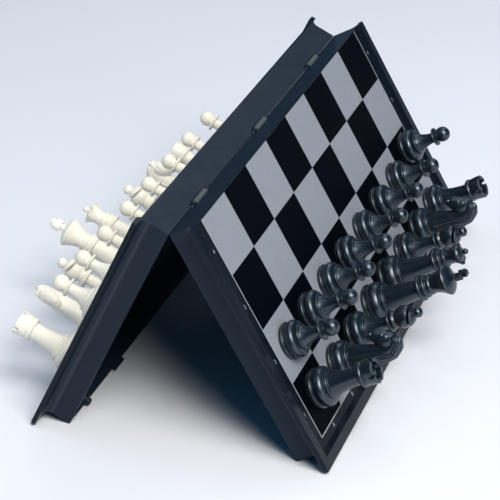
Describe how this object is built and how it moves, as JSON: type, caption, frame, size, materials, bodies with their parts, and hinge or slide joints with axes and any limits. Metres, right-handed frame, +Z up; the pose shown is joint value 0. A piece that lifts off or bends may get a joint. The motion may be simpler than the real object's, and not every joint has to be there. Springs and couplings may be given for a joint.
{
  "type": "folding magnetic chess set",
  "caption": "Folding travel chess set: two hinged trays with a magnetic board on their outer faces, stood up as a tent, with round-footed pieces.",
  "frame": {"origin": "on the ground, straight under the middle of the hinge ridge, with the board standing as a tent", "axes": "+Z up, Y along the hinge ridge, +X towards the black pieces' half"},
  "size_m": [0.2712, 0.3206, 0.1437],
  "materials": {
    "case_plastic": "satin moulded plastic with a fine grain",
    "pin_steel": "plain drawn wire",
    "sheet_steel": "plain tinplate",
    "board_film": "printed silver-grey and black squares",
    "black_piece_plastic": "semi-gloss moulded plastic",
    "white_piece_plastic": "semi-gloss moulded plastic, ivory"
  },
  "bodies": {
    "black_half": {"black_case_half": "case_plastic", "black_steel_sheet": "sheet_steel", "black_board_film": "board_film"},
    "white_half": {"white_case_half": "case_plastic", "white_steel_sheet": "sheet_steel", "white_board_film": "board_film", "near_hinge_pin": "pin_steel", "middle_hinge_pin": "pin_steel", "far_hinge_pin": "pin_steel"},
    "black_rook_a": {"black_rook_a": "black_piece_plastic"},
    "black_pawn_a": {"black_pawn_a": "black_piece_plastic"},
    "black_knight_b": {"black_knight_b": "black_piece_plastic"},
    "black_pawn_b": {"black_pawn_b": "black_piece_plastic"},
    "black_bishop_c": {"black_bishop_c": "black_piece_plastic"},
    "black_pawn_c": {"black_pawn_c": "black_piece_plastic"},
    "black_king_d": {"black_king_d": "black_piece_plastic"},
    "black_pawn_d": {"black_pawn_d": "black_piece_plastic"},
    "black_queen_e": {"black_queen_e": "black_piece_plastic"},
    "black_pawn_e": {"black_pawn_e": "black_piece_plastic"},
    "black_bishop_f": {"black_bishop_f": "black_piece_plastic"},
    "black_pawn_f": {"black_pawn_f": "black_piece_plastic"},
    "black_knight_g": {"black_knight_g": "black_piece_plastic"},
    "black_pawn_g": {"black_pawn_g": "black_piece_plastic"},
    "black_rook_h": {"black_rook_h": "black_piece_plastic"},
    "black_pawn_h": {"black_pawn_h": "black_piece_plastic"},
    "white_rook_a": {"white_rook_a": "white_piece_plastic"},
    "white_pawn_a": {"white_pawn_a": "white_piece_plastic"},
    "white_knight_b": {"white_knight_b": "white_piece_plastic"},
    "white_pawn_b": {"white_pawn_b": "white_piece_plastic"},
    "white_bishop_c": {"white_bishop_c": "white_piece_plastic"},
    "white_pawn_c": {"white_pawn_c": "white_piece_plastic"},
    "white_king_d": {"white_king_d": "white_piece_plastic"},
    "white_pawn_d": {"white_pawn_d": "white_piece_plastic"},
    "white_queen_e": {"white_queen_e": "white_piece_plastic"},
    "white_pawn_e": {"white_pawn_e": "white_piece_plastic"},
    "white_bishop_f": {"white_bishop_f": "white_piece_plastic"},
    "white_pawn_f": {"white_pawn_f": "white_piece_plastic"},
    "white_knight_g": {"white_knight_g": "white_piece_plastic"},
    "white_pawn_g": {"white_pawn_g": "white_piece_plastic"},
    "white_rook_h": {"white_rook_h": "white_piece_plastic"},
    "white_pawn_h": {"white_pawn_h": "white_piece_plastic"}
  },
  "joints": [
    {"name": "fold", "type": "hinge", "parent": "black_half", "child": "white_half", "pos_m": [0, 0, 0.13457], "axis": [0, 1, 0], "range_deg": [-55, 125]},
    {"name": "lift_black_rook_a", "type": "slide", "parent": "black_half", "child": "black_rook_a", "axis": [0.887, 0, 0.4617], "range_m": [0, 0.03]},
    {"name": "lift_black_pawn_a", "type": "slide", "parent": "black_half", "child": "black_pawn_a", "axis": [0.887, 0, 0.4617], "range_m": [0, 0.03]},
    {"name": "lift_black_knight_b", "type": "slide", "parent": "black_half", "child": "black_knight_b", "axis": [0.887, 0, 0.4617], "range_m": [0, 0.03]},
    {"name": "lift_black_pawn_b", "type": "slide", "parent": "black_half", "child": "black_pawn_b", "axis": [0.887, 0, 0.4617], "range_m": [0, 0.03]},
    {"name": "lift_black_bishop_c", "type": "slide", "parent": "black_half", "child": "black_bishop_c", "axis": [0.887, 0, 0.4617], "range_m": [0, 0.03]},
    {"name": "lift_black_pawn_c", "type": "slide", "parent": "black_half", "child": "black_pawn_c", "axis": [0.887, 0, 0.4617], "range_m": [0, 0.03]},
    {"name": "lift_black_king_d", "type": "slide", "parent": "black_half", "child": "black_king_d", "axis": [0.887, 0, 0.4617], "range_m": [0, 0.03]},
    {"name": "lift_black_pawn_d", "type": "slide", "parent": "black_half", "child": "black_pawn_d", "axis": [0.887, 0, 0.4617], "range_m": [0, 0.03]},
    {"name": "lift_black_queen_e", "type": "slide", "parent": "black_half", "child": "black_queen_e", "axis": [0.887, 0, 0.4617], "range_m": [0, 0.03]},
    {"name": "lift_black_pawn_e", "type": "slide", "parent": "black_half", "child": "black_pawn_e", "axis": [0.887, 0, 0.4617], "range_m": [0, 0.03]},
    {"name": "lift_black_bishop_f", "type": "slide", "parent": "black_half", "child": "black_bishop_f", "axis": [0.887, 0, 0.4617], "range_m": [0, 0.03]},
    {"name": "lift_black_pawn_f", "type": "slide", "parent": "black_half", "child": "black_pawn_f", "axis": [0.887, 0, 0.4617], "range_m": [0, 0.03]},
    {"name": "lift_black_knight_g", "type": "slide", "parent": "black_half", "child": "black_knight_g", "axis": [0.887, 0, 0.4617], "range_m": [0, 0.03]},
    {"name": "lift_black_pawn_g", "type": "slide", "parent": "black_half", "child": "black_pawn_g", "axis": [0.887, 0, 0.4617], "range_m": [0, 0.03]},
    {"name": "lift_black_rook_h", "type": "slide", "parent": "black_half", "child": "black_rook_h", "axis": [0.887, 0, 0.4617], "range_m": [0, 0.03]},
    {"name": "lift_black_pawn_h", "type": "slide", "parent": "black_half", "child": "black_pawn_h", "axis": [0.887, 0, 0.4617], "range_m": [0, 0.03]},
    {"name": "lift_white_rook_a", "type": "slide", "parent": "white_half", "child": "white_rook_a", "axis": [-0.887, 0, 0.4617], "range_m": [0, 0.03]},
    {"name": "lift_white_pawn_a", "type": "slide", "parent": "white_half", "child": "white_pawn_a", "axis": [-0.887, 0, 0.4617], "range_m": [0, 0.03]},
    {"name": "lift_white_knight_b", "type": "slide", "parent": "white_half", "child": "white_knight_b", "axis": [-0.887, 0, 0.4617], "range_m": [0, 0.03]},
    {"name": "lift_white_pawn_b", "type": "slide", "parent": "white_half", "child": "white_pawn_b", "axis": [-0.887, 0, 0.4617], "range_m": [0, 0.03]},
    {"name": "lift_white_bishop_c", "type": "slide", "parent": "white_half", "child": "white_bishop_c", "axis": [-0.887, 0, 0.4617], "range_m": [0, 0.03]},
    {"name": "lift_white_pawn_c", "type": "slide", "parent": "white_half", "child": "white_pawn_c", "axis": [-0.887, 0, 0.4617], "range_m": [0, 0.03]},
    {"name": "lift_white_king_d", "type": "slide", "parent": "white_half", "child": "white_king_d", "axis": [-0.887, 0, 0.4617], "range_m": [0, 0.03]},
    {"name": "lift_white_pawn_d", "type": "slide", "parent": "white_half", "child": "white_pawn_d", "axis": [-0.887, 0, 0.4617], "range_m": [0, 0.03]},
    {"name": "lift_white_queen_e", "type": "slide", "parent": "white_half", "child": "white_queen_e", "axis": [-0.887, 0, 0.4617], "range_m": [0, 0.03]},
    {"name": "lift_white_pawn_e", "type": "slide", "parent": "white_half", "child": "white_pawn_e", "axis": [-0.887, 0, 0.4617], "range_m": [0, 0.03]},
    {"name": "lift_white_bishop_f", "type": "slide", "parent": "white_half", "child": "white_bishop_f", "axis": [-0.887, 0, 0.4617], "range_m": [0, 0.03]},
    {"name": "lift_white_pawn_f", "type": "slide", "parent": "white_half", "child": "white_pawn_f", "axis": [-0.887, 0, 0.4617], "range_m": [0, 0.03]},
    {"name": "lift_white_knight_g", "type": "slide", "parent": "white_half", "child": "white_knight_g", "axis": [-0.887, 0, 0.4617], "range_m": [0, 0.03]},
    {"name": "lift_white_pawn_g", "type": "slide", "parent": "white_half", "child": "white_pawn_g", "axis": [-0.887, 0, 0.4617], "range_m": [0, 0.03]},
    {"name": "lift_white_rook_h", "type": "slide", "parent": "white_half", "child": "white_rook_h", "axis": [-0.887, 0, 0.4617], "range_m": [0, 0.03]},
    {"name": "lift_white_pawn_h", "type": "slide", "parent": "white_half", "child": "white_pawn_h", "axis": [-0.887, 0, 0.4617], "range_m": [0, 0.03]}
  ]
}
